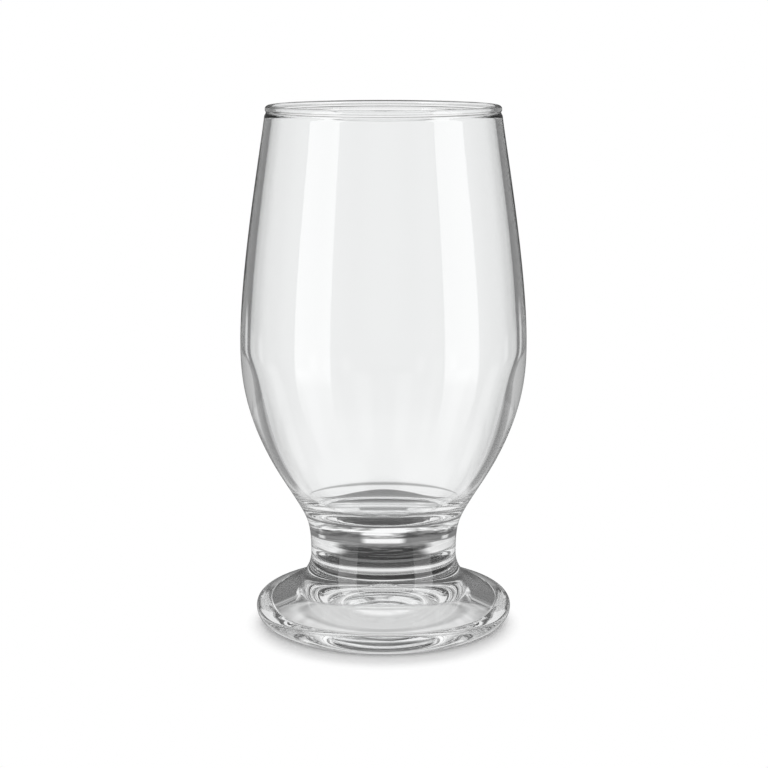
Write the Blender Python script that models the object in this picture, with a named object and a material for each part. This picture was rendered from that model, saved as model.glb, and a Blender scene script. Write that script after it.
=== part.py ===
"""Footed water goblet in clear soda-lime glass.

Three gathers of glass, each a solid turned about +Z: an egg-shaped bowl, a short waisted stem and a
round foot. They seat on each other on shallow domed faces, as hot glass pieces do before they fuse.
Metres, +Z up, origin at the centre of the foot's resting ring.
"""
import math

import bpy

# Foot
FOOT_RADIUS = 0.0335
FOOT_LOWER_EDGE_RADIUS = 0.0034
FOOT_UPPER_EDGE_RADIUS = 0.00265
FOOT_EDGE_LAND = 0.0001
FOOT_TOP_SLOPE = math.radians(22.7)
RESTING_RING_WIDTH = 0.0022
UNDERSIDE_HOLLOW_DEPTH = 0.0080
UNDERSIDE_HOLLOW_ROUNDING = 0.25
CENTRE_DIMPLE_RADIUS = 0.0022
CENTRE_DIMPLE_DEPTH = 0.0005

# Stem
WAIST_RADIUS = 0.0190
FOOT_FILLET_RADIUS = 0.0096
FOOT_JOINT_DROP = 0.0040

# Bowl, each height measured up from the level below it
THROAT_RADIUS = 0.0266
THROAT_RISE = 0.0208
THROAT_LEAN = math.radians(31.5)
BELLY_RADIUS = 0.0368
BELLY_RISE = 0.0344
RIM_RADIUS = 0.0298
RIM_RISE = 0.0611
RIM_WALL = 0.0019
BELLY_WALL = 0.0025
FLOOR_THICKNESS = 0.0063
FLOOR_FLAT_RADIUS = 0.0140
BOWL_JOINT_RISE = 0.0075

# Joints between the gathers
JOINT_CROWN = 0.0012
JOINT_CLEARANCE = 0.0003

# How far each curve runs straight before it bends, as a share of that curve's own rise or reach
RIM_STRAIGHT = 0.06
BELLY_STRAIGHT_UP = 0.34
BELLY_STRAIGHT_DOWN = 0.20
THROAT_STRAIGHT_UP = 0.54
THROAT_STRAIGHT_DOWN = 0.59
WAIST_STRAIGHT = 0.46
INSIDE_STRAIGHT_DOWN = 0.28
FLOOR_STRAIGHT = 0.44

# Facets
TURN_STEPS = 48
LONG_CURVE_STEPS = 12
SHORT_CURVE_STEPS = 8
ARC_STEPS = 6

# Places that follow from the sizes above: the slope of the foot's top touches its rounded edge and the
# stem's fillet, and sets how high the waist is
UPPER_EDGE_CENTRE = (FOOT_RADIUS - FOOT_UPPER_EDGE_RADIUS, FOOT_LOWER_EDGE_RADIUS + FOOT_EDGE_LAND)
SLOPE_FOOT_RADIUS = UPPER_EDGE_CENTRE[0] + FOOT_UPPER_EDGE_RADIUS * math.sin(FOOT_TOP_SLOPE)
SLOPE_FOOT_HEIGHT = UPPER_EDGE_CENTRE[1] + FOOT_UPPER_EDGE_RADIUS * math.cos(FOOT_TOP_SLOPE)
SLOPE_HEAD_RADIUS = WAIST_RADIUS + FOOT_FILLET_RADIUS * (1 - math.sin(FOOT_TOP_SLOPE))
SLOPE_RUN = SLOPE_FOOT_RADIUS - SLOPE_HEAD_RADIUS
SLOPE_HEAD_HEIGHT = SLOPE_FOOT_HEIGHT + SLOPE_RUN * math.tan(FOOT_TOP_SLOPE)
WAIST_HEIGHT = SLOPE_HEAD_HEIGHT + FOOT_FILLET_RADIUS * math.cos(FOOT_TOP_SLOPE)
FOOT_JOINT_HEIGHT = WAIST_HEIGHT - FOOT_JOINT_DROP
THROAT_HEIGHT = WAIST_HEIGHT + THROAT_RISE
BELLY_HEIGHT = THROAT_HEIGHT + BELLY_RISE
RIM_HEIGHT = BELLY_HEIGHT + RIM_RISE
LIP_RADIUS = RIM_WALL / 2
LIP_HEIGHT = RIM_HEIGHT - LIP_RADIUS
BOWL_JOINT_HEIGHT = WAIST_HEIGHT + BOWL_JOINT_RISE
FLOOR_HEIGHT = BOWL_JOINT_HEIGHT - JOINT_CROWN + FLOOR_THICKNESS


def clear_scene():
    """Remove every object, so the goblet stands alone."""
    for existing in list(bpy.data.objects):
        bpy.data.objects.remove(existing, do_unlink=True)


def cubic(start, start_handle, end_handle, end, steps):
    """Points (radius, height) along a cubic curve, both ends included."""
    points = []
    for step in range(steps + 1):
        t = step / steps
        s = 1 - t
        weights = (s ** 3, 3 * s * s * t, 3 * s * t * t, t ** 3)
        knots = (start, start_handle, end_handle, end)
        radius = sum(weight * knot[0] for weight, knot in zip(weights, knots))
        height = sum(weight * knot[1] for weight, knot in zip(weights, knots))
        points.append((radius, height))
    return points


def arc(centre, radius, start_angle, end_angle, steps):
    """Points (radius, height) along an arc in the profile plane, angles measured from straight out."""
    points = []
    for step in range(steps + 1):
        angle = start_angle + (end_angle - start_angle) * step / steps
        points.append((centre[0] + radius * math.cos(angle), centre[1] + radius * math.sin(angle)))
    return points


def radius_at(points, height):
    """Radius where a profile that only falls passes a height."""
    for upper, lower in zip(points, points[1:]):
        if upper[1] >= height >= lower[1]:
            share = (upper[1] - height) / (upper[1] - lower[1])
            return upper[0] + share * (lower[0] - upper[0])
    raise ValueError("the profile doesn't reach that height")


def above(points, height):
    """The part of a falling profile above a height, ending on it."""
    kept = [point for point in points if point[1] > height]
    return kept + [(radius_at(points, height), height)]


def below(points, height):
    """The part of a falling profile below a height, starting on it."""
    kept = [point for point in points if point[1] < height]
    return [(radius_at(points, height), height)] + kept


def domed_face(radius, edge_height, steps):
    """A joint face from its edge to the axis, bulging downwards by the crown."""
    points = []
    for step in range(steps + 1):
        share = 1 - step / steps
        points.append((radius * share, edge_height - JOINT_CROWN * (1 - share * share)))
    return points


def bowl_outside():
    """Outer wall from under the lip to the throat."""
    upper = cubic(
        (RIM_RADIUS, LIP_HEIGHT),
        (RIM_RADIUS, LIP_HEIGHT - RIM_STRAIGHT * RIM_RISE),
        (BELLY_RADIUS, BELLY_HEIGHT + BELLY_STRAIGHT_UP * RIM_RISE),
        (BELLY_RADIUS, BELLY_HEIGHT),
        LONG_CURVE_STEPS)
    reach = THROAT_STRAIGHT_UP * BELLY_RISE
    lower = cubic(
        (BELLY_RADIUS, BELLY_HEIGHT),
        (BELLY_RADIUS, BELLY_HEIGHT - BELLY_STRAIGHT_DOWN * BELLY_RISE),
        (THROAT_RADIUS + reach * math.sin(THROAT_LEAN), THROAT_HEIGHT + reach * math.cos(THROAT_LEAN)),
        (THROAT_RADIUS, THROAT_HEIGHT),
        LONG_CURVE_STEPS)
    return upper + lower[1:]


def throat_to_waist():
    """Outer curve from the throat in to the stem's waist."""
    reach = THROAT_STRAIGHT_DOWN * THROAT_RISE
    return cubic(
        (THROAT_RADIUS, THROAT_HEIGHT),
        (THROAT_RADIUS - reach * math.sin(THROAT_LEAN), THROAT_HEIGHT - reach * math.cos(THROAT_LEAN)),
        (WAIST_RADIUS, WAIST_HEIGHT + WAIST_STRAIGHT * THROAT_RISE),
        (WAIST_RADIUS, WAIST_HEIGHT),
        SHORT_CURVE_STEPS)


def waist_to_foot():
    """Outer curve from the waist out to the foot's sloping top."""
    centre = (WAIST_RADIUS + FOOT_FILLET_RADIUS, WAIST_HEIGHT)
    slope_end = math.radians(270) - FOOT_TOP_SLOPE
    return arc(centre, FOOT_FILLET_RADIUS, math.radians(180), slope_end, SHORT_CURVE_STEPS)


def foot_edge():
    """Rounded edge from the end of the top's slope to the resting ring."""
    slope_start = math.radians(90) - FOOT_TOP_SLOPE
    upper = arc(UPPER_EDGE_CENTRE, FOOT_UPPER_EDGE_RADIUS, slope_start, 0, ARC_STEPS)
    lower_centre = (FOOT_RADIUS - FOOT_LOWER_EDGE_RADIUS, FOOT_LOWER_EDGE_RADIUS)
    lower = arc(lower_centre, FOOT_LOWER_EDGE_RADIUS, 0, -math.radians(90), ARC_STEPS)
    return upper + lower


def foot_underside():
    """Hollow inside the resting ring, a cone with a rounded top and a dimple at its centre."""
    ring = FOOT_RADIUS - FOOT_LOWER_EDGE_RADIUS - RESTING_RING_WIDTH
    whole_fall = math.hypot(1, UNDERSIDE_HOLLOW_ROUNDING) - UNDERSIDE_HOLLOW_ROUNDING
    points = []
    for step in range(SHORT_CURVE_STEPS):
        share = 1 - step / SHORT_CURVE_STEPS
        radius = CENTRE_DIMPLE_RADIUS + (ring - CENTRE_DIMPLE_RADIUS) * share
        fall = (math.hypot(share, UNDERSIDE_HOLLOW_ROUNDING) - UNDERSIDE_HOLLOW_ROUNDING) / whole_fall
        points.append((radius, UNDERSIDE_HOLLOW_DEPTH * (1 - fall)))
    for step in range(ARC_STEPS + 1):
        share = 1 - step / ARC_STEPS
        lift = CENTRE_DIMPLE_DEPTH * math.cos(share * math.pi / 2)
        points.append((CENTRE_DIMPLE_RADIUS * share, UNDERSIDE_HOLLOW_DEPTH + lift))
    return points


def bowl_inside():
    """Flat floor, then the inner wall up to the lip."""
    inner_belly = BELLY_RADIUS - BELLY_WALL
    inner_rim = RIM_RADIUS - RIM_WALL
    depth = BELLY_HEIGHT - FLOOR_HEIGHT
    floor_reach = FLOOR_FLAT_RADIUS + FLOOR_STRAIGHT * (inner_belly - FLOOR_FLAT_RADIUS)
    lower = cubic(
        (FLOOR_FLAT_RADIUS, FLOOR_HEIGHT),
        (floor_reach, FLOOR_HEIGHT),
        (inner_belly, BELLY_HEIGHT - INSIDE_STRAIGHT_DOWN * depth),
        (inner_belly, BELLY_HEIGHT),
        LONG_CURVE_STEPS)
    upper = cubic(
        (inner_belly, BELLY_HEIGHT),
        (inner_belly, BELLY_HEIGHT + BELLY_STRAIGHT_UP * RIM_RISE),
        (inner_rim, LIP_HEIGHT - RIM_STRAIGHT * RIM_RISE),
        (inner_rim, LIP_HEIGHT),
        LONG_CURVE_STEPS)
    return [(0, FLOOR_HEIGHT)] + lower + upper[1:]


def lip():
    """Half-round lip over the top of the wall, from the inside to the outside."""
    centre = (RIM_RADIUS - LIP_RADIUS, LIP_HEIGHT)
    return arc(centre, LIP_RADIUS, math.radians(180), 0, ARC_STEPS)


def bowl_profile():
    """The whole bowl: inside, lip, outside and the domed face that the stem takes."""
    throat = above(throat_to_waist(), BOWL_JOINT_HEIGHT)
    face = domed_face(throat[-1][0], BOWL_JOINT_HEIGHT, ARC_STEPS)
    return bowl_inside() + lip()[1:-1] + bowl_outside() + throat[1:] + face[1:]


def stem_profile():
    """The stem: its dished top, waist and domed lower face."""
    top_height = BOWL_JOINT_HEIGHT - JOINT_CLEARANCE
    side = below(throat_to_waist(), top_height) + above(waist_to_foot(), FOOT_JOINT_HEIGHT)[1:]
    top = domed_face(side[0][0], top_height, ARC_STEPS)
    face = domed_face(side[-1][0], FOOT_JOINT_HEIGHT, ARC_STEPS)
    return top[::-1] + side[1:] + face[1:]


def foot_profile():
    """The foot: its dished seat, sloping top, rounded edge, resting ring and hollow underside."""
    seat_height = FOOT_JOINT_HEIGHT - JOINT_CLEARANCE
    top = below(waist_to_foot(), seat_height)
    seat = domed_face(top[0][0], seat_height, ARC_STEPS)
    return seat[::-1] + top[1:] + foot_edge() + foot_underside()


def glass_material(name, tint):
    """Clear glass with a very faint tint where it is thick."""
    material = bpy.data.materials.new(name)
    material.use_nodes = True
    shader = material.node_tree.nodes["Principled BSDF"]
    shader.inputs["Base Color"].default_value = (*tint, 1.0)
    shader.inputs["Roughness"].default_value = 0.0
    shader.inputs["Metallic"].default_value = 0.0
    shader.inputs["IOR"].default_value = 1.52
    shader.inputs["Transmission Weight"].default_value = 1.0
    return material


def turned_piece(name, profile, material):
    """Turn a profile about +Z into one closed solid."""
    mesh = bpy.data.meshes.new(name)
    verts = [(radius, 0.0, height) for radius, height in profile]
    edges = [(index, index + 1) for index in range(len(profile) - 1)]
    mesh.from_pydata(verts, edges, [])
    mesh.materials.append(material)
    piece = bpy.data.objects.new(name, mesh)
    bpy.context.collection.objects.link(piece)
    screw = piece.modifiers.new("turn", "SCREW")
    screw.axis = "Z"
    screw.angle = math.tau
    screw.steps = TURN_STEPS
    screw.render_steps = TURN_STEPS
    screw.use_merge_vertices = True
    screw.merge_threshold = 0.00001
    screw.use_smooth_shade = True
    return piece


def build_goblet():
    """Make the three glass pieces in place, bowl first."""
    turned_piece("bowl", bowl_profile(), glass_material("bowl_glass", (0.97, 0.98, 0.98)))
    turned_piece("stem", stem_profile(), glass_material("stem_glass", (0.96, 0.98, 0.98)))
    turned_piece("foot", foot_profile(), glass_material("foot_glass", (0.96, 0.98, 0.97)))


clear_scene()
build_goblet()
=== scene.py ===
import math

import bpy
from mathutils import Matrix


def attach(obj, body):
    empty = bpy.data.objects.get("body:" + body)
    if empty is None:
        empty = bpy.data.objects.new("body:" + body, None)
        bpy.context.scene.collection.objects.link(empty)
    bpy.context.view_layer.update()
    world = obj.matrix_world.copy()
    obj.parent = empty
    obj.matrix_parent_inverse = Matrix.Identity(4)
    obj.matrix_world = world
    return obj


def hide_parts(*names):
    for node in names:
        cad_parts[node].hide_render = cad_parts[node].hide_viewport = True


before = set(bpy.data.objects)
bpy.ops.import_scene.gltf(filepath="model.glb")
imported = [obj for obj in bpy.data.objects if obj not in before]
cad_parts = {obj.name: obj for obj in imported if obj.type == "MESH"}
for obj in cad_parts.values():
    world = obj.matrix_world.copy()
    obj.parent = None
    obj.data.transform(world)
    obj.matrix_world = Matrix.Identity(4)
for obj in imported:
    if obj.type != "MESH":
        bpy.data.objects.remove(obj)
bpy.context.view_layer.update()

# Foot, in metres
FOOT_RADIUS = 0.0335
FOOT_LOWER_EDGE_RADIUS = 0.0034
FOOT_UPPER_EDGE_RADIUS = 0.00265
FOOT_EDGE_LAND = 0.0001
FOOT_TOP_SLOPE = math.radians(22.7)
RESTING_RING_WIDTH = 0.0022
UNDERSIDE_HOLLOW_DEPTH = 0.0080
UNDERSIDE_HOLLOW_ROUNDING = 0.25
CENTRE_DIMPLE_RADIUS = 0.0022
CENTRE_DIMPLE_DEPTH = 0.0005

# Stem
WAIST_RADIUS = 0.0190
FOOT_FILLET_RADIUS = 0.0096
FOOT_JOINT_DROP = 0.0040

# Bowl, each height measured up from the level below it
THROAT_RADIUS = 0.0266
THROAT_RISE = 0.0208
THROAT_LEAN = math.radians(31.5)
BELLY_RADIUS = 0.0368
BELLY_RISE = 0.0344
RIM_RADIUS = 0.0298
RIM_RISE = 0.0611
RIM_WALL = 0.0019
BELLY_WALL = 0.0025
LIP_GROOVE_DEPTH = 0.00014
LIP_GROOVE_FALL = 0.0020
FLOOR_THICKNESS = 0.0063
FLOOR_FLAT_RADIUS = 0.0140
BOWL_JOINT_RISE = 0.0075
JOINT_CROWN = 0.0012

# How far each curve runs straight before it bends, as a share of that curve's own rise or reach
RIM_STRAIGHT = 0.06
BELLY_STRAIGHT_UP = 0.34
BELLY_STRAIGHT_DOWN = 0.20
THROAT_STRAIGHT_UP = 0.54
THROAT_STRAIGHT_DOWN = 0.59
WAIST_STRAIGHT = 0.46
INSIDE_STRAIGHT_DOWN = 0.28
FLOOR_STRAIGHT = 0.44

# How finely the glass is turned
TURN_STEPS = 160
LONG_CURVE_STEPS = 44
SHORT_CURVE_STEPS = 32
ARC_STEPS = 16
LIP_STEPS = 28
GROOVE_STEPS = 10
FACE_STEPS = 10
WELD_DISTANCE = 0.000002
CREASE_ANGLE = math.radians(35)

# Places that follow from the sizes above
UPPER_EDGE_CENTRE = (FOOT_RADIUS - FOOT_UPPER_EDGE_RADIUS, FOOT_LOWER_EDGE_RADIUS + FOOT_EDGE_LAND)
SLOPE_FOOT_RADIUS = UPPER_EDGE_CENTRE[0] + FOOT_UPPER_EDGE_RADIUS * math.sin(FOOT_TOP_SLOPE)
SLOPE_FOOT_HEIGHT = UPPER_EDGE_CENTRE[1] + FOOT_UPPER_EDGE_RADIUS * math.cos(FOOT_TOP_SLOPE)
SLOPE_HEAD_RADIUS = WAIST_RADIUS + FOOT_FILLET_RADIUS * (1 - math.sin(FOOT_TOP_SLOPE))
SLOPE_RUN = SLOPE_FOOT_RADIUS - SLOPE_HEAD_RADIUS
SLOPE_HEAD_HEIGHT = SLOPE_FOOT_HEIGHT + SLOPE_RUN * math.tan(FOOT_TOP_SLOPE)
WAIST_HEIGHT = SLOPE_HEAD_HEIGHT + FOOT_FILLET_RADIUS * math.cos(FOOT_TOP_SLOPE)
FOOT_JOINT_HEIGHT = WAIST_HEIGHT - FOOT_JOINT_DROP
THROAT_HEIGHT = WAIST_HEIGHT + THROAT_RISE
BELLY_HEIGHT = THROAT_HEIGHT + BELLY_RISE
RIM_HEIGHT = BELLY_HEIGHT + RIM_RISE
LIP_RADIUS = RIM_WALL / 2
LIP_HEIGHT = RIM_HEIGHT - LIP_RADIUS
BOWL_JOINT_HEIGHT = WAIST_HEIGHT + BOWL_JOINT_RISE
FLOOR_HEIGHT = BOWL_JOINT_HEIGHT - JOINT_CROWN + FLOOR_THICKNESS

# Glass and its finish: wave heights in metres, and how many waves and scuffs to a metre
GLASS_INDEX = 1.52
GLASS_TINT = (0.985, 0.99, 0.99)
BOWL_WAVES = 0.00001
STEM_WAVES = 0.00005
FOOT_WAVES = 0.00002
WAVES_PER_METRE = 90.0
SCUFFS_PER_METRE = 900.0
WORN_HEIGHT = 0.0002
WORN_ROUGHNESS = 0.008
UNEVEN_POLISH = 0.0015

# Room: how fine its clutter is, how the far shadow bends, and the turns of the soft boxes in degrees
CLUTTER_ACROSS = 4.5
CLUTTER_UP = 14.0
FAR_SHADOW_BEND = 9.5
SOFT_BOX_TURNS = (65, -58)
SOFT_BOX_STRENGTH = 2.6

# Table, in metres: painted light streaks, the real shadow that the camera sees, and the painted shadow behind
# the goblet that its bowl shows
TABLE_RADIUS = 0.16
TABLE_CORNERS = 64
PAINTED_STREAKS_PER_METRE = 70.0
SHADOW_FORWARD = 0.006
SHADOW_FADE_START = 0.030
SHADOW_FADE_END = 0.0365
NEAR_SHADOW_HALF_WIDTH = 0.0105
NEAR_SHADOW_STRAIGHT = 0.042
NEAR_SHADOW_ROUND = 0.036

# Camera, and how often light may turn in the glass
CAMERA_PLACE = (0.0, -0.4616, 0.1552)
CAMERA_PITCH = math.radians(78.646)
CAMERA_LENS = 85.22
CAMERA_SENSOR = 36.0
CAMERA_SHIFT = 0.0007
LIGHT_BOUNCES = 64


def cubic(start, start_handle, end_handle, end, steps):
    """Points (radius, height) along a cubic curve, both ends included."""
    points = []
    for step in range(steps + 1):
        t = step / steps
        s = 1 - t
        weights = (s ** 3, 3 * s * s * t, 3 * s * t * t, t ** 3)
        knots = (start, start_handle, end_handle, end)
        radius = sum(weight * knot[0] for weight, knot in zip(weights, knots))
        height = sum(weight * knot[1] for weight, knot in zip(weights, knots))
        points.append((radius, height))
    return points


def arc(centre, radius, start_angle, end_angle, steps):
    """Points (radius, height) along an arc in the profile plane, angles measured from straight out."""
    points = []
    for step in range(steps + 1):
        angle = start_angle + (end_angle - start_angle) * step / steps
        points.append((centre[0] + radius * math.cos(angle), centre[1] + radius * math.sin(angle)))
    return points


def radius_at(points, height):
    """Radius where a profile that only falls passes a height."""
    for upper, lower in zip(points, points[1:]):
        if upper[1] >= height >= lower[1]:
            share = (upper[1] - height) / (upper[1] - lower[1])
            return upper[0] + share * (lower[0] - upper[0])
    raise ValueError("the profile doesn't reach that height")


def above(points, height):
    """The part of a falling profile above a height, ending on it."""
    kept = [point for point in points if point[1] > height]
    return kept + [(radius_at(points, height), height)]


def below(points, height):
    """The part of a falling profile below a height, starting on it."""
    kept = [point for point in points if point[1] < height]
    return [(radius_at(points, height), height)] + kept


def domed_face(radius, edge_height):
    """A fused face from its edge to the axis, bulging downwards by the crown."""
    points = []
    for step in range(FACE_STEPS + 1):
        share = 1 - step / FACE_STEPS
        points.append((radius * share, edge_height - JOINT_CROWN * (1 - share * share)))
    return points


def bowl_inside():
    """Flat floor, then the inner wall up to the lip."""
    inner_belly = BELLY_RADIUS - BELLY_WALL
    inner_rim = RIM_RADIUS - RIM_WALL
    depth = BELLY_HEIGHT - FLOOR_HEIGHT
    floor_reach = FLOOR_FLAT_RADIUS + FLOOR_STRAIGHT * (inner_belly - FLOOR_FLAT_RADIUS)
    lower = cubic(
        (FLOOR_FLAT_RADIUS, FLOOR_HEIGHT),
        (floor_reach, FLOOR_HEIGHT),
        (inner_belly, BELLY_HEIGHT - INSIDE_STRAIGHT_DOWN * depth),
        (inner_belly, BELLY_HEIGHT),
        LONG_CURVE_STEPS)
    upper = cubic(
        (inner_belly, BELLY_HEIGHT),
        (inner_belly, BELLY_HEIGHT + BELLY_STRAIGHT_UP * RIM_RISE),
        (inner_rim, LIP_HEIGHT - RIM_STRAIGHT * RIM_RISE),
        (inner_rim, LIP_HEIGHT),
        LONG_CURVE_STEPS)
    return [(0, FLOOR_HEIGHT)] + lower + upper[1:]


def bowl_lip():
    """Bead over the top of the wall, from the inside out, with a shallow groove under it on both sides."""
    centre = (RIM_RADIUS - LIP_RADIUS, LIP_HEIGHT)
    under = math.acos(1 - LIP_GROOVE_DEPTH / LIP_RADIUS)
    bead = arc(centre, LIP_RADIUS, math.pi + under, -under, LIP_STEPS)
    groove_end = LIP_HEIGHT - LIP_GROOVE_FALL
    reach = LIP_GROOVE_FALL / 3
    lean_in = reach * math.sin(under)
    lean_down = reach * math.cos(under)
    inner_wall = radius_at(bowl_inside()[::-1], groove_end)
    inner_groove = cubic(
        (inner_wall, groove_end),
        (inner_wall, groove_end + reach),
        (bead[0][0] + lean_in, bead[0][1] - lean_down),
        bead[0],
        GROOVE_STEPS)
    outer_wall = radius_at(bowl_outside(), groove_end)
    outer_groove = cubic(
        bead[-1],
        (bead[-1][0] - lean_in, bead[-1][1] - lean_down),
        (outer_wall, groove_end + reach),
        (outer_wall, groove_end),
        GROOVE_STEPS)
    return inner_groove[1:] + bead[1:-1] + outer_groove[:-1]


def bowl_outside():
    """Outer wall from under the lip to the throat."""
    upper = cubic(
        (RIM_RADIUS, LIP_HEIGHT),
        (RIM_RADIUS, LIP_HEIGHT - RIM_STRAIGHT * RIM_RISE),
        (BELLY_RADIUS, BELLY_HEIGHT + BELLY_STRAIGHT_UP * RIM_RISE),
        (BELLY_RADIUS, BELLY_HEIGHT),
        LONG_CURVE_STEPS)
    reach = THROAT_STRAIGHT_UP * BELLY_RISE
    lower = cubic(
        (BELLY_RADIUS, BELLY_HEIGHT),
        (BELLY_RADIUS, BELLY_HEIGHT - BELLY_STRAIGHT_DOWN * BELLY_RISE),
        (THROAT_RADIUS + reach * math.sin(THROAT_LEAN), THROAT_HEIGHT + reach * math.cos(THROAT_LEAN)),
        (THROAT_RADIUS, THROAT_HEIGHT),
        LONG_CURVE_STEPS)
    return upper + lower[1:]


def throat_to_waist():
    """Outer curve from the throat in to the stem's waist."""
    reach = THROAT_STRAIGHT_DOWN * THROAT_RISE
    return cubic(
        (THROAT_RADIUS, THROAT_HEIGHT),
        (THROAT_RADIUS - reach * math.sin(THROAT_LEAN), THROAT_HEIGHT - reach * math.cos(THROAT_LEAN)),
        (WAIST_RADIUS, WAIST_HEIGHT + WAIST_STRAIGHT * THROAT_RISE),
        (WAIST_RADIUS, WAIST_HEIGHT),
        SHORT_CURVE_STEPS)


def waist_to_foot():
    """Outer curve from the waist out to the foot's sloping top."""
    centre = (WAIST_RADIUS + FOOT_FILLET_RADIUS, WAIST_HEIGHT)
    slope_end = math.radians(270) - FOOT_TOP_SLOPE
    return arc(centre, FOOT_FILLET_RADIUS, math.radians(180), slope_end, SHORT_CURVE_STEPS)


def foot_edge():
    """Rounded edge from the end of the top's slope to the resting ring."""
    slope_start = math.radians(90) - FOOT_TOP_SLOPE
    upper = arc(UPPER_EDGE_CENTRE, FOOT_UPPER_EDGE_RADIUS, slope_start, 0, ARC_STEPS)
    lower_centre = (FOOT_RADIUS - FOOT_LOWER_EDGE_RADIUS, FOOT_LOWER_EDGE_RADIUS)
    lower = arc(lower_centre, FOOT_LOWER_EDGE_RADIUS, 0, -math.radians(90), ARC_STEPS)
    return upper + lower


def foot_underside():
    """Hollow inside the resting ring, a cone with a rounded top and a dimple at its centre."""
    ring = FOOT_RADIUS - FOOT_LOWER_EDGE_RADIUS - RESTING_RING_WIDTH
    whole_fall = math.hypot(1, UNDERSIDE_HOLLOW_ROUNDING) - UNDERSIDE_HOLLOW_ROUNDING
    points = []
    for step in range(SHORT_CURVE_STEPS):
        share = 1 - step / SHORT_CURVE_STEPS
        radius = CENTRE_DIMPLE_RADIUS + (ring - CENTRE_DIMPLE_RADIUS) * share
        fall = (math.hypot(share, UNDERSIDE_HOLLOW_ROUNDING) - UNDERSIDE_HOLLOW_ROUNDING) / whole_fall
        points.append((radius, UNDERSIDE_HOLLOW_DEPTH * (1 - fall)))
    for step in range(ARC_STEPS + 1):
        share = 1 - step / ARC_STEPS
        lift = CENTRE_DIMPLE_DEPTH * math.cos(share * math.pi / 2)
        points.append((CENTRE_DIMPLE_RADIUS * share, UNDERSIDE_HOLLOW_DEPTH + lift))
    return points


def bowl_profile():
    """The bowl's glass from the floor's centre to the throat, then its fused face."""
    throat = above(throat_to_waist(), BOWL_JOINT_HEIGHT)
    face = domed_face(throat[-1][0], BOWL_JOINT_HEIGHT)
    groove_end = LIP_HEIGHT - LIP_GROOVE_FALL
    inside = below(bowl_inside()[::-1], groove_end)[::-1]
    outside = below(bowl_outside(), groove_end)
    glass = inside + bowl_lip() + outside + throat[1:]
    return [], glass, face


def stem_profile():
    """The stem's fused top, its waist and its fused lower face."""
    side = below(throat_to_waist(), BOWL_JOINT_HEIGHT) + above(waist_to_foot(), FOOT_JOINT_HEIGHT)[1:]
    top = domed_face(side[0][0], BOWL_JOINT_HEIGHT)
    face = domed_face(side[-1][0], FOOT_JOINT_HEIGHT)
    return top[::-1], side, face


def foot_profile():
    """The foot's fused seat, then its top, rounded edge, resting ring and hollow underside."""
    top = below(waist_to_foot(), FOOT_JOINT_HEIGHT)
    seat = domed_face(top[0][0], FOOT_JOINT_HEIGHT)
    return seat[::-1], top + foot_edge() + foot_underside(), []


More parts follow.
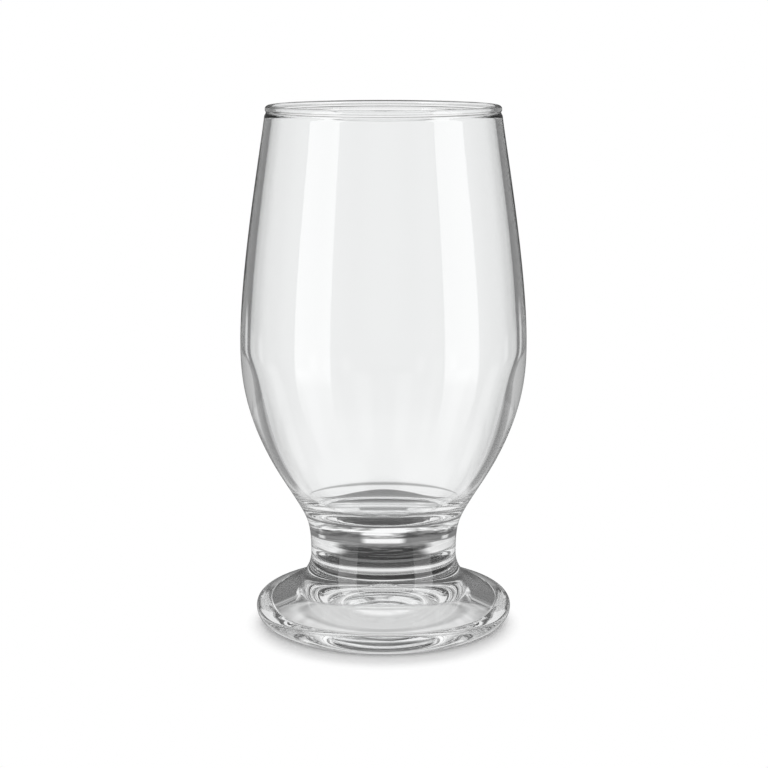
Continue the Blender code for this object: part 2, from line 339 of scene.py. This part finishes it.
def glass_turning():
    """Node tree that turns a profile about +Z, welds it and marks the faces that are fused inside."""
    tree = bpy.data.node_groups.new("glass turning", "GeometryNodeTree")
    sides = tree.interface
    sides.new_socket("Profile", in_out="INPUT", socket_type="NodeSocketGeometry")
    sockets = {
        "steps": sides.new_socket("Turn Steps", in_out="INPUT", socket_type="NodeSocketInt"),
        "weld": sides.new_socket("Weld Distance", in_out="INPUT", socket_type="NodeSocketFloat"),
        "crease": sides.new_socket("Crease Angle", in_out="INPUT", socket_type="NodeSocketFloat"),
        "glass": sides.new_socket("Glass", in_out="INPUT", socket_type="NodeSocketMaterial"),
        "fused": sides.new_socket("Fused Face", in_out="INPUT", socket_type="NodeSocketMaterial"),
    }
    sides.new_socket("Turned Piece", in_out="OUTPUT", socket_type="NodeSocketGeometry")
    nodes = tree.nodes
    links = tree.links
    sizes = nodes.new("NodeGroupInput")
    result = nodes.new("NodeGroupOutput")

    # A sheet with one row of corners for each profile point, and one more column than turns
    count = nodes.new("GeometryNodeAttributeDomainSize")
    links.new(sizes.outputs["Profile"], count.inputs["Geometry"])
    columns = nodes.new("FunctionNodeIntegerMath")
    columns.operation = "ADD"
    links.new(sizes.outputs["Turn Steps"], columns.inputs[0])
    columns.inputs[1].default_value = 1
    sheet = nodes.new("GeometryNodeMeshGrid")
    links.new(count.outputs["Point Count"], sheet.inputs["Vertices X"])
    links.new(columns.outputs[0], sheet.inputs["Vertices Y"])

    # Which profile point and which turn a corner belongs to
    index = nodes.new("GeometryNodeInputIndex")
    ring = nodes.new("FunctionNodeIntegerMath")
    ring.operation = "DIVIDE_FLOOR"
    links.new(index.outputs[0], ring.inputs[0])
    links.new(columns.outputs[0], ring.inputs[1])
    turn = nodes.new("FunctionNodeIntegerMath")
    turn.operation = "MODULO"
    links.new(index.outputs[0], turn.inputs[0])
    links.new(columns.outputs[0], turn.inputs[1])
    share = nodes.new("ShaderNodeMath")
    share.operation = "DIVIDE"
    links.new(turn.outputs[0], share.inputs[0])
    links.new(sizes.outputs["Turn Steps"], share.inputs[1])
    angle = nodes.new("ShaderNodeMath")
    angle.operation = "MULTIPLY"
    links.new(share.outputs[0], angle.inputs[0])
    angle.inputs[1].default_value = math.tau

    # The profile point, turned to its place
    place = nodes.new("GeometryNodeInputPosition")
    point = nodes.new("GeometryNodeSampleIndex")
    point.data_type = "FLOAT_VECTOR"
    links.new(sizes.outputs["Profile"], point.inputs["Geometry"])
    links.new(place.outputs[0], point.inputs["Value"])
    links.new(ring.outputs[0], point.inputs["Index"])
    turned = nodes.new("ShaderNodeVectorRotate")
    turned.rotation_type = "Z_AXIS"
    links.new(point.outputs[0], turned.inputs["Vector"])
    links.new(angle.outputs[0], turned.inputs["Angle"])

    # Whether the profile point lies on a fused face
    fused_mark = nodes.new("GeometryNodeInputNamedAttribute")
    fused_mark.data_type = "BOOLEAN"
    fused_mark.inputs["Name"].default_value = "fused"
    fused_point = nodes.new("GeometryNodeSampleIndex")
    fused_point.data_type = "BOOLEAN"
    links.new(sizes.outputs["Profile"], fused_point.inputs["Geometry"])
    links.new(fused_mark.outputs["Attribute"], fused_point.inputs["Value"])
    links.new(ring.outputs[0], fused_point.inputs["Index"])
    keep_mark = nodes.new("GeometryNodeStoreNamedAttribute")
    keep_mark.data_type = "BOOLEAN"
    keep_mark.inputs["Name"].default_value = "fused"
    links.new(sheet.outputs["Mesh"], keep_mark.inputs["Geometry"])
    links.new(fused_point.outputs[0], keep_mark.inputs["Value"])

    move = nodes.new("GeometryNodeSetPosition")
    links.new(keep_mark.outputs["Geometry"], move.inputs["Geometry"])
    links.new(turned.outputs[0], move.inputs["Position"])
    weld = nodes.new("GeometryNodeMergeByDistance")
    links.new(move.outputs["Geometry"], weld.inputs["Geometry"])
    links.new(sizes.outputs["Weld Distance"], weld.inputs["Distance"])

    # Smooth all over, but creased where a fused face meets the glass
    smooth = nodes.new("GeometryNodeSetShadeSmooth")
    links.new(weld.outputs["Geometry"], smooth.inputs["Geometry"])
    bend = nodes.new("GeometryNodeInputMeshEdgeAngle")
    sharp = nodes.new("FunctionNodeCompare")
    sharp.data_type = "FLOAT"
    sharp.operation = "GREATER_THAN"
    links.new(bend.outputs["Unsigned Angle"], sharp.inputs["A"])
    links.new(sizes.outputs["Crease Angle"], sharp.inputs["B"])
    crease = nodes.new("GeometryNodeSetShadeSmooth")
    crease.domain = "EDGE"
    crease.inputs["Shade Smooth"].default_value = False
    links.new(smooth.outputs["Geometry"], crease.inputs["Geometry"])
    links.new(sharp.outputs["Result"], crease.inputs["Selection"])

    whole = nodes.new("GeometryNodeRealizeInstances")
    links.new(crease.outputs["Geometry"], whole.inputs["Geometry"])
    glass = nodes.new("GeometryNodeSetMaterial")
    links.new(whole.outputs["Geometry"], glass.inputs["Geometry"])
    links.new(sizes.outputs["Glass"], glass.inputs["Material"])
    fused = nodes.new("GeometryNodeSetMaterial")
    fused_face = nodes.new("GeometryNodeInputNamedAttribute")
    fused_face.data_type = "BOOLEAN"
    fused_face.inputs["Name"].default_value = "fused"
    links.new(glass.outputs["Geometry"], fused.inputs["Geometry"])
    links.new(fused_face.outputs["Attribute"], fused.inputs["Selection"])
    links.new(sizes.outputs["Fused Face"], fused.inputs["Material"])
    links.new(fused.outputs["Geometry"], result.inputs["Turned Piece"])
    return tree, sockets


def turned_piece(name, profile, turning, glass, fused_face):
    """One glass piece turned from its profile, as a plain closed mesh."""
    before, side, after = profile
    points = before[:-1] + side + after[1:]
    outline = bpy.data.meshes.new(name + " outline")
    outline.from_pydata(
        [(radius, 0.0, height) for radius, height in points],
        [(place, place + 1) for place in range(len(points) - 1)],
        [])
    mark = outline.attributes.new("fused", "BOOLEAN", "POINT")
    first_glass = max(len(before) - 1, 0)
    last_glass = first_glass + len(side) - 1
    for place in range(len(points)):
        on_top = bool(before) and place <= first_glass
        on_bottom = bool(after) and place >= last_glass
        mark.data[place].value = on_top or on_bottom
    holder = bpy.data.objects.new(name + " outline", outline)
    bpy.context.collection.objects.link(holder)
    tree, sockets = turning
    turn = holder.modifiers.new("turn", "NODES")
    turn.node_group = tree
    turn[sockets["steps"].identifier] = TURN_STEPS
    turn[sockets["weld"].identifier] = WELD_DISTANCE
    turn[sockets["crease"].identifier] = CREASE_ANGLE
    turn[sockets["glass"].identifier] = glass
    turn[sockets["fused"].identifier] = fused_face
    ready = holder.evaluated_get(bpy.context.evaluated_depsgraph_get())
    mesh = bpy.data.meshes.new_from_object(ready)
    mesh.name = name
    holder.modifiers.remove(turn)
    bpy.data.objects.remove(holder, do_unlink=True)
    piece = bpy.data.objects.new(name, mesh)
    bpy.context.collection.objects.link(piece)
    return piece


def sum_of(tree, operation, first, second=None, third=None):
    """One Math node on links or plain numbers."""
    node = tree.nodes.new("ShaderNodeMath")
    node.operation = operation
    for slot, value in enumerate((first, second, third)):
        if value is None:
            continue
        if isinstance(value, (int, float)):
            node.inputs[slot].default_value = value
        else:
            tree.links.new(value, node.inputs[slot])
    return node.outputs[0]


def soft_step(tree, value, start, end):
    """0 below start and 1 above end, eased between them. With start above end it falls instead."""
    node = tree.nodes.new("ShaderNodeMapRange")
    node.interpolation_type = "SMOOTHSTEP"
    low, high = min(start, end), max(start, end)
    node.inputs["From Min"].default_value = low
    node.inputs["From Max"].default_value = high
    node.inputs["To Min"].default_value = 0.0 if start < end else 1.0
    node.inputs["To Max"].default_value = 1.0 if start < end else 0.0
    tree.links.new(value, node.inputs["Value"])
    return node.outputs["Result"]


def layers(tree, value, low, high, stops):
    """Grey steps along a value between low and high, each stop a (place, grey) pair."""
    share = tree.nodes.new("ShaderNodeMapRange")
    share.inputs["From Min"].default_value = low
    share.inputs["From Max"].default_value = high
    tree.links.new(value, share.inputs["Value"])
    ramp = tree.nodes.new("ShaderNodeValToRGB")
    ramp.color_ramp.interpolation = "EASE"
    while len(ramp.color_ramp.elements) < len(stops):
        ramp.color_ramp.elements.new(0.5)
    for element, (place, grey) in zip(ramp.color_ramp.elements, stops):
        element.position = (place - low) / (high - low)
        element.color = (grey, grey, grey, 1.0)
    tree.links.new(share.outputs["Result"], ramp.inputs["Fac"])
    return ramp.outputs["Color"]


def mixed(tree, share, first, second):
    """first where share is 0 and second where it is 1."""
    node = tree.nodes.new("ShaderNodeMix")
    node.data_type = "FLOAT"
    for socket, value in zip(("Factor", "A", "B"), (share, first, second)):
        if isinstance(value, (int, float)):
            node.inputs[socket].default_value = value
        else:
            tree.links.new(value, node.inputs[socket])
    return node.outputs["Result"]


def shader_mix(tree, share, first, second):
    """The first shader where share is 0 and the second where it is 1."""
    node = tree.nodes.new("ShaderNodeMixShader")
    tree.links.new(share, node.inputs["Fac"])
    tree.links.new(first, node.inputs[1])
    tree.links.new(second, node.inputs[2])
    return node.outputs[0]


def product(tree, first, second):
    """Two links or numbers multiplied."""
    return sum_of(tree, "MULTIPLY", first, second)


def more_than(tree, count, limit):
    """1 where a ray's whole count is above a limit, and 0 elsewhere."""
    return sum_of(tree, "GREATER_THAN", count, limit + 0.5)


def angle_step(tree, angle, start, end):
    """soft_step along an angle, with its start and end in degrees."""
    return soft_step(tree, angle, math.radians(start), math.radians(end))


def bands(tree, angle, low, high, stops):
    """layers along an angle, with all its places in degrees."""
    places = tuple((math.radians(place), grey) for place, grey in stops)
    return layers(tree, angle, math.radians(low), math.radians(high), places)


def rings(tree, away, stops):
    """layers along the distance from the table's centre, in metres."""
    return layers(tree, away, 0.0, TABLE_RADIUS, stops)


def directions(tree, vector):
    """A vector's parts, its turn about +Z from the camera's side, and that turn folded into four sides."""
    parts = tree.nodes.new("ShaderNodeSeparateXYZ")
    tree.links.new(vector, parts.inputs[0])
    back = product(tree, parts.outputs["Y"], -1.0)
    turn = sum_of(tree, "ARCTAN2", parts.outputs["X"], back)
    beside = sum_of(tree, "PINGPONG", turn, math.radians(45))
    return parts.outputs, turn, beside


def clear_glass(name, waves):
    """Colourless glass with faint waves from the mould, uneven polish and wear where it rests."""
    material = bpy.data.materials.new(name)
    material.use_nodes = True
    tree = material.node_tree
    nodes = tree.nodes
    links = tree.links
    shader = nodes["Principled BSDF"]
    shader.inputs["Base Color"].default_value = (*GLASS_TINT, 1.0)
    shader.inputs["IOR"].default_value = GLASS_INDEX
    shader.inputs["Transmission Weight"].default_value = 1.0
    place = nodes.new("ShaderNodeTexCoord")

    # Waves, flatter along the turned surface than up it
    stretch = nodes.new("ShaderNodeMapping")
    stretch.inputs["Scale"].default_value = (1.0, 1.0, 2.0)
    links.new(place.outputs["Object"], stretch.inputs["Vector"])
    wave = nodes.new("ShaderNodeTexNoise")
    wave.inputs["Scale"].default_value = WAVES_PER_METRE
    wave.inputs["Detail"].default_value = 1.0
    links.new(stretch.outputs[0], wave.inputs["Vector"])
    ripple = nodes.new("ShaderNodeBump")
    ripple.inputs["Strength"].default_value = 1.0
    ripple.inputs["Distance"].default_value = waves
    links.new(wave.outputs["Fac"], ripple.inputs["Height"])
    links.new(ripple.outputs["Normal"], shader.inputs["Normal"])

    # Fine scuffs on the resting ring, and polish that varies a little elsewhere
    scuffs = nodes.new("ShaderNodeTexNoise")
    scuffs.inputs["Scale"].default_value = SCUFFS_PER_METRE
    scuffs.inputs["Detail"].default_value = 4.0
    links.new(place.outputs["Object"], scuffs.inputs["Vector"])
    height = nodes.new("ShaderNodeSeparateXYZ")
    links.new(place.outputs["Object"], height.inputs[0])
    worn = soft_step(tree, height.outputs["Z"], WORN_HEIGHT, 0.0)
    worn = product(tree, worn, soft_step(tree, scuffs.outputs["Fac"], 0.40, 0.62))
    polish = soft_step(tree, wave.outputs["Fac"], 0.55, 0.75)
    rough = product(tree, polish, UNEVEN_POLISH)
    links.new(sum_of(tree, "MULTIPLY_ADD", worn, WORN_ROUGHNESS, rough), shader.inputs["Roughness"])
    return material


def fused_glass():
    """Where two pieces are fused the glass is continuous, so nothing is seen there."""
    material = bpy.data.materials.new("fused glass")
    material.use_nodes = True
    nodes = material.node_tree.nodes
    nodes.remove(nodes["Principled BSDF"])
    clear = nodes.new("ShaderNodeBsdfTransparent")
    material.node_tree.links.new(clear.outputs[0], nodes["Material Output"].inputs["Surface"])
    return material


def goblet():
    """The three glass pieces, each in the place of its solid."""
    turning = glass_turning()
    fused_face = fused_glass()
    pieces = (
        ("bowl", bowl_profile(), BOWL_WAVES),
        ("stem", stem_profile(), STEM_WAVES),
        ("foot", foot_profile(), FOOT_WAVES),
    )
    for name, profile, waves in pieces:
        glass = clear_glass(name + " glass", waves)
        piece = turned_piece("glass_" + name, profile, turning, glass, fused_face)
        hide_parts(name)
        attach(piece, "root")


def white_backing(tree, beside):
    """White behind the open bowl, a little darker to each side."""
    return bands(tree, beside, 0, 45, (
        (0, 0.95), (10, 0.95), (18, 0.87), (26, 0.78), (32, 0.84), (39, 0.94), (45, 0.95)))


def room_greys(tree, parts, rise, beside):
    """Greys of the room by height, broken up by its clutter and by a doorway on each of four sides."""
    nodes = tree.nodes
    links = tree.links
    spread = nodes.new("ShaderNodeCombineXYZ")
    links.new(product(tree, parts["X"], CLUTTER_ACROSS), spread.inputs["X"])
    links.new(product(tree, parts["Y"], CLUTTER_ACROSS), spread.inputs["Y"])
    links.new(product(tree, rise, CLUTTER_UP), spread.inputs["Z"])
    clutter = nodes.new("ShaderNodeTexNoise")
    clutter.inputs["Scale"].default_value = 1.0
    clutter.inputs["Detail"].default_value = 3.0
    links.new(spread.outputs[0], clutter.inputs["Vector"])
    broken = nodes.new("ShaderNodeMapRange")
    broken.inputs["From Min"].default_value = 0.36
    broken.inputs["From Max"].default_value = 0.64
    broken.inputs["To Min"].default_value = 0.10
    broken.inputs["To Max"].default_value = 2.10
    links.new(clutter.outputs["Fac"], broken.inputs["Value"])

    # Bottom up: floor, table, its far edge, a light sill, dark wall, window band, wall and ceiling
    room = bands(tree, rise, -90, 90, (
        (-90, 0.50), (-50, 0.25), (-34, 0.25), (-30, 0.95), (-11, 0.95), (-8.5, 0.25), (-6.8, 0.25),
        (-5.8, 0.97), (-1.5, 0.97), (0.3, 0.16), (5, 0.14), (7, 0.32), (9, 0.32), (11, 0.10), (13, 0.90),
        (16, 0.90), (18, 0.60), (24, 0.60), (27, 0.18), (33, 0.18), (35.5, 0.75), (39, 0.75), (44, 0.28),
        (52, 0.28), (56, 0.75), (90, 0.75)))

    # The doorway lets light in above the sill, and the sill itself is light only below it
    doorway = bands(tree, beside, 0, 45, ((0, 2.8), (8, 2.4), (13, 0.45), (40, 0.45), (45, 1.0)))
    doorway = mixed(tree, angle_step(tree, rise, 15, 13), 1.0, doorway)
    broken_up = product(tree, broken.outputs["Result"], doorway)
    room = product(tree, room, mixed(tree, angle_step(tree, rise, -1, 2), 1.0, broken_up))
    sill = product(tree, angle_step(tree, rise, -7, -6), angle_step(tree, rise, 1, -1))
    sill_tone = bands(tree, beside, 0, 45, ((0, 1.0), (8, 1.0), (13, 0.20), (38, 0.20), (43, 0.80)))
    room = product(tree, room, mixed(tree, sill, 1.0, sill_tone))
    return sum_of(tree, "MINIMUM", room, 1.0)


def room_by_mirror(tree, rise, beside, room):
    """The room by one mirror inside the glass: dark cards at eye level and below it, the room above them."""
    low_cards = bands(tree, beside, 0, 45, (
        (0, 0.12), (9, 0.12), (14, 0.62), (22, 0.62), (27, 0.25), (38, 0.16), (43, 0.45), (45, 0.50)))
    inner = mixed(tree, angle_step(tree, rise, -9, -7), low_cards, room)
    card = product(tree, angle_step(tree, beside, 7, 10), angle_step(tree, beside, 41, 38))
    level = product(tree, angle_step(tree, rise, -9, -7), angle_step(tree, rise, 20, 17))
    card = product(tree, sum_of(tree, "MAXIMUM", card, level), angle_step(tree, rise, 22, 18))
    card_tone = bands(tree, beside, 0, 45, (
        (0, 0.12), (20, 0.13), (26, 0.16), (29, 0.75), (32, 0.75), (35, 0.13), (45, 0.12)))
    inner = mixed(tree, card, inner, mixed(tree, level, card_tone, 0.12))
    return mixed(tree, angle_step(tree, rise, -14, -20), inner, low_cards)


def room_through_bowl(tree, turn, rise, beside, room):
    """The room through the open bowl: the white backing, and the goblet's far shadow through its floor."""
    off_front = sum_of(tree, "ABSOLUTE", turn)
    upper = mixed(tree, angle_step(tree, off_front, 140, 155), 0.80, room)
    through = mixed(tree, angle_step(tree, rise, 9, 6), upper, white_backing(tree, beside))

    # Only the thin dark outline of the pale shadow, bent round its far end
    off_back = sum_of(tree, "SUBTRACT", math.pi, off_front)
    bend = sum_of(tree, "MULTIPLY_ADD", product(tree, off_back, off_back), FAR_SHADOW_BEND, rise)
    outline = bands(tree, bend, -90, 90, (
        (-40, 0.92), (-23, 0.92), (-22, 0.38), (-20.8, 0.38), (-19.8, 0.90), (-18, 0.95)))
    far_back = product(tree, angle_step(tree, off_back, 25, 15), angle_step(tree, rise, -17, -18))
    through = mixed(tree, far_back, through, outline)

    # A small dark card over the table's far edge
    card = product(tree, angle_step(tree, rise, 4.5, 6), angle_step(tree, rise, 12, 10))
    card = product(tree, card, angle_step(tree, off_back, 9, 6))
    return mixed(tree, card, through, 0.26)


def room_on_outside(tree, turn, rise):
    """What the outside of the glass mirrors: the table, and tall soft boxes left and right of the camera."""
    boxes = []
    for place in SOFT_BOX_TURNS:
        off = sum_of(tree, "ABSOLUTE", sum_of(tree, "SUBTRACT", turn, math.radians(place)))
        boxes.append(angle_step(tree, off, 17, 15))
    tall = bands(tree, rise, -90, 90, (
        (-90, 0.0), (-74, 0.0), (-55, 0.35), (-30, 0.50), (-19, 0.60), (-12, 1.0), (50, 1.0), (60, 0.0),
        (90, 0.0)))
    light = product(tree, sum_of(tree, "MAXIMUM", *boxes), tall)
    light = product(tree, light, SOFT_BOX_STRENGTH)
    table_light = bands(tree, rise, -90, 90, (
        (-90, 0.85), (-40, 0.85), (-25, 0.30), (-10, 0.12), (90, 0.12)))
    return sum_of(tree, "MAXIMUM", light, table_light)


def studio():
    """Studio around the goblet: white to the camera, with tones set by a ray's way through the glass."""
    world = bpy.data.worlds.new("studio")
    bpy.context.scene.world = world
    world.use_nodes = True
    tree = world.node_tree
    way = tree.nodes.new("ShaderNodeTexCoord")
    parts, turn, beside = directions(tree, way.outputs["Generated"])
    rise = sum_of(tree, "ARCSINE", parts["Z"])
    room = room_greys(tree, parts, rise, beside)

    # After two mirrors inside the glass light and dark in turn, after more the dark side behind the camera,
    # and after very many one grey
    by_two = bands(tree, rise, -90, 90, (
        (-90, 0.95), (2, 0.95), (4, 0.20), (8, 0.20), (10, 0.98), (26, 0.98), (28, 0.25), (32, 0.25),
        (35, 0.95), (90, 0.95)))
    by_more = bands(tree, sum_of(tree, "ABSOLUTE", turn), 0, 180, (
        (0, 0.10), (75, 0.10), (95, 0.90), (180, 0.90)))
    path = tree.nodes.new("ShaderNodeLightPath").outputs
    mirrors = path["Glossy Depth"]
    solid = mixed(tree, more_than(tree, mirrors, 2), by_two, by_more)
    solid = mixed(tree, more_than(tree, mirrors, 1), room_by_mirror(tree, rise, beside, room), solid)
    solid = mixed(tree, more_than(tree, mirrors, 0), room, solid)
    solid = mixed(tree, more_than(tree, mirrors, 10), solid, 0.60)

    # More than two surfaces passed means that the ray came through the open bowl
    open_bowl = more_than(tree, path["Transmission Depth"], 2)
    inside = mixed(tree, open_bowl, solid, room_through_bowl(tree, turn, rise, beside, room))
    strength = mixed(tree, path["Is Glossy Ray"], 1.0, room_on_outside(tree, turn, rise))
    strength = mixed(tree, path["Is Transmission Ray"], strength, inside)
    light = tree.nodes["Background"]
    light.inputs["Color"].default_value = (1.0, 1.0, 1.0, 1.0)
    tree.links.new(strength, light.inputs["Strength"])


def painted_table_straight(tree, where, away, behind):
    """The table straight through solid glass as a painted glow: painted light under the foot and painted
    shadow beyond it, with faint painted light streaks.
    """
    streaks = tree.nodes.new("ShaderNodeTexNoise")
    streaks.inputs["Scale"].default_value = PAINTED_STREAKS_PER_METRE
    streaks.inputs["Detail"].default_value = 3.0
    tree.links.new(where, streaks.inputs["Vector"])
    # Faint painted light streaks added over the glow, away from the foot
    streak = soft_step(tree, streaks.outputs["Fac"], 0.46, 0.70)
    streak = product(tree, streak, soft_step(tree, away, 0.022, 0.026))
    # Painted light under the foot, then painted shadow close round it and a long painted shadow behind it
    under = ((0.0, 0.92), (0.005, 0.92), (0.009, 0.66), (0.018, 0.70), (0.0205, 0.50), (0.0225, 0.80))
    to_sides = rings(tree, away, under + (
        (0.028, 0.55), (0.032, 0.22), (0.046, 0.25), (0.054, 0.85), (0.16, 0.80)))
    to_back = rings(tree, away, under + (
        (0.025, 0.55), (0.029, 0.03), (0.110, 0.025), (0.135, 0.14), (0.16, 0.25)))
    return sum_of(tree, "MULTIPLY_ADD", streak, 0.16, mixed(tree, behind, to_sides, to_back))


def painted_table_by_mirror(tree, away, behind):
    """The table by one mirror inside the glass, as a painted glow: painted shade under the foot, a painted
    light ring around it and painted shadow behind it.
    """
    # Painted shade under the foot, a painted light ring round it, and painted shadow behind
    shade = ((0.0, 0.20), (0.004, 0.04), (0.021, 0.05), (0.024, 0.12), (0.028, 0.85), (0.033, 0.85))
    to_sides = rings(tree, away, shade + ((0.038, 0.40), (0.060, 0.70), (0.16, 0.65)))
    to_back = rings(tree, away, shade + ((0.038, 0.10), (0.16, 0.12)))
    return mixed(tree, behind, to_sides, to_back)


def painted_table_by_mirrors(tree, away, turn):
    """The table by more mirrors, as a painted glow: painted shade under the foot and close before and behind
    it, painted light elsewhere.
    """
    # Painted shade close to the foot, painted light farther out
    near = rings(tree, away, ((0.0, 0.10), (0.044, 0.10), (0.052, 0.80)))
    dark = bands(tree, sum_of(tree, "ABSOLUTE", turn), 0, 180, (
        (0, 1.0), (60, 1.0), (75, 0.0), (125, 0.0), (145, 1.0)))
    dark = sum_of(tree, "MAXIMUM", dark, soft_step(tree, away, 0.026, 0.022))
    return mixed(tree, dark, 0.80, near)


def near_shadow(tree, away, turn, beside):
    """1 on the near end of the goblet's shadow behind it, a strip with a round end, and 0 elsewhere."""
    across = product(tree, away, sum_of(tree, "SINE", beside))
    along = product(tree, away, sum_of(tree, "COSINE", beside))
    wide = sum_of(tree, "DIVIDE", across, NEAR_SHADOW_HALF_WIDTH)
    past = sum_of(tree, "MAXIMUM", sum_of(tree, "SUBTRACT", along, NEAR_SHADOW_STRAIGHT), 0.0)
    long = sum_of(tree, "DIVIDE", past, NEAR_SHADOW_ROUND)
    reach = sum_of(tree, "MULTIPLY_ADD", wide, wide, product(tree, long, long))
    at_back = angle_step(tree, sum_of(tree, "ABSOLUTE", turn), 120, 140)
    return product(tree, soft_step(tree, reach, 1.1, 0.8), at_back)


def pale_table():
    """White paint to the camera, and to a ray in the glass a painted glow with the tones that the glass shows
    of the table: painted light and painted shadow.
    """
    material = bpy.data.materials.new("pale table")
    material.use_nodes = True
    tree = material.node_tree
    nodes = tree.nodes
    links = tree.links
    where = nodes.new("ShaderNodeTexCoord").outputs["Object"]
    length = nodes.new("ShaderNodeVectorMath")
    length.operation = "LENGTH"
    links.new(where, length.inputs[0])
    away = length.outputs["Value"]
    turn, beside = directions(tree, where)[1:]

    # To the camera, paint that takes the shadow close to the foot and plain white beyond
    paint = nodes["Principled BSDF"]
    paint.inputs["Base Color"].default_value = (0.98, 0.98, 0.98, 1.0)
    paint.inputs["Roughness"].default_value = 0.9
    paint.inputs["Specular IOR Level"].default_value = 0.0
    white = nodes.new("ShaderNodeEmission")
    white.inputs["Color"].default_value = (1.0, 1.0, 1.0, 1.0)
    white.inputs["Strength"].default_value = 1.0
    forward = nodes.new("ShaderNodeVectorMath")
    forward.operation = "DISTANCE"
    links.new(where, forward.inputs[0])
    forward.inputs[1].default_value = (0.0, -SHADOW_FORWARD, 0.0)
    fade = soft_step(tree, forward.outputs["Value"], SHADOW_FADE_START, SHADOW_FADE_END)
    shown = shader_mix(tree, fade, paint.outputs["BSDF"], white.outputs[0])

    # Through solid glass, straight or by mirrors inside it: painted light and painted shadow of the table
    path = nodes.new("ShaderNodeLightPath").outputs
    by_mirror = more_than(tree, path["Glossy Depth"], 0)
    by_more = more_than(tree, path["Glossy Depth"], 1)
    open_bowl = more_than(tree, path["Transmission Depth"], 2)
    wider = product(tree, soft_step(tree, away, 0.085, 0.105), math.radians(6))
    behind = angle_step(tree, sum_of(tree, "SUBTRACT", beside, wider), 21, 12)
    solid = mixed(tree, by_more, painted_table_by_mirror(tree, away, behind), painted_table_by_mirrors(tree, away, turn))
    solid = mixed(tree, by_mirror, painted_table_straight(tree, where, away, behind), solid)

    # Through the open bowl, the white backing down to the foot with painted shade under it, and the painted
    # near end of the goblet's shadow
    painted_shadow_core = near_shadow(tree, away, turn, beside)
    plain = product(tree, white_backing(tree, beside), soft_step(tree, away, 0.018, 0.030))
    # The table glows with these painted tones to rays in the glass, though it is no lamp
    glow = nodes.new("ShaderNodeEmission")
    glow.inputs["Color"].default_value = (1.0, 1.0, 1.0, 1.0)
    links.new(mixed(tree, open_bowl, solid, mixed(tree, painted_shadow_core, plain, 0.22)), glow.inputs["Strength"])

    # Away from the foot the glass shows the room instead, unless it shows the table straight through the stem
    unseen = nodes.new("ShaderNodeBsdfTransparent")
    cleared_solid = mixed(tree, by_mirror, 0.0, soft_step(tree, away, 0.060, 0.080))
    cleared_bowl = product(tree, soft_step(tree, away, 0.040, 0.055), sum_of(tree, "SUBTRACT", 1.0, painted_shadow_core))
    cleared = mixed(tree, open_bowl, cleared_solid, cleared_bowl)
    inside = shader_mix(tree, cleared, glow.outputs[0], unseen.outputs[0])

    # What the outside of the glass mirrors passes the table by, so the soft boxes reach below it
    in_glass = shader_mix(tree, path["Is Transmission Ray"], unseen.outputs[0], inside)
    surface = shader_mix(tree, path["Is Camera Ray"], in_glass, shown)
    links.new(surface, nodes["Material Output"].inputs["Surface"])
    return material


def table():
    """Pale round table top that keeps the goblet's real shadow, shows painted light and painted shadow to
    rays in the glass, and fades into the white room.
    """
    mesh = bpy.data.meshes.new("table")
    corners = []
    for step in range(TABLE_CORNERS):
        angle = math.tau * step / TABLE_CORNERS
        corners.append((TABLE_RADIUS * math.cos(angle), TABLE_RADIUS * math.sin(angle), 0.0))
    mesh.from_pydata(corners, [], [tuple(range(TABLE_CORNERS))])
    mesh.materials.append(pale_table())
    top = bpy.data.objects.new("table", mesh)
    bpy.context.collection.objects.link(top)


def camera():
    """Camera at the photograph's height, tilt and distance."""
    data = bpy.data.cameras.new("camera")
    data.lens = CAMERA_LENS
    data.sensor_width = CAMERA_SENSOR
    data.shift_x = CAMERA_SHIFT
    eye = bpy.data.objects.new("camera", data)
    eye.location = CAMERA_PLACE
    eye.rotation_euler = (CAMERA_PITCH, 0.0, 0.0)
    bpy.context.collection.objects.link(eye)
    bpy.context.scene.camera = eye


goblet()
studio()
table()
camera()
scene = bpy.context.scene
scene.view_settings.view_transform = "Standard"
scene.cycles.max_bounces = LIGHT_BOUNCES
scene.cycles.transmission_bounces = LIGHT_BOUNCES
scene.cycles.glossy_bounces = LIGHT_BOUNCES
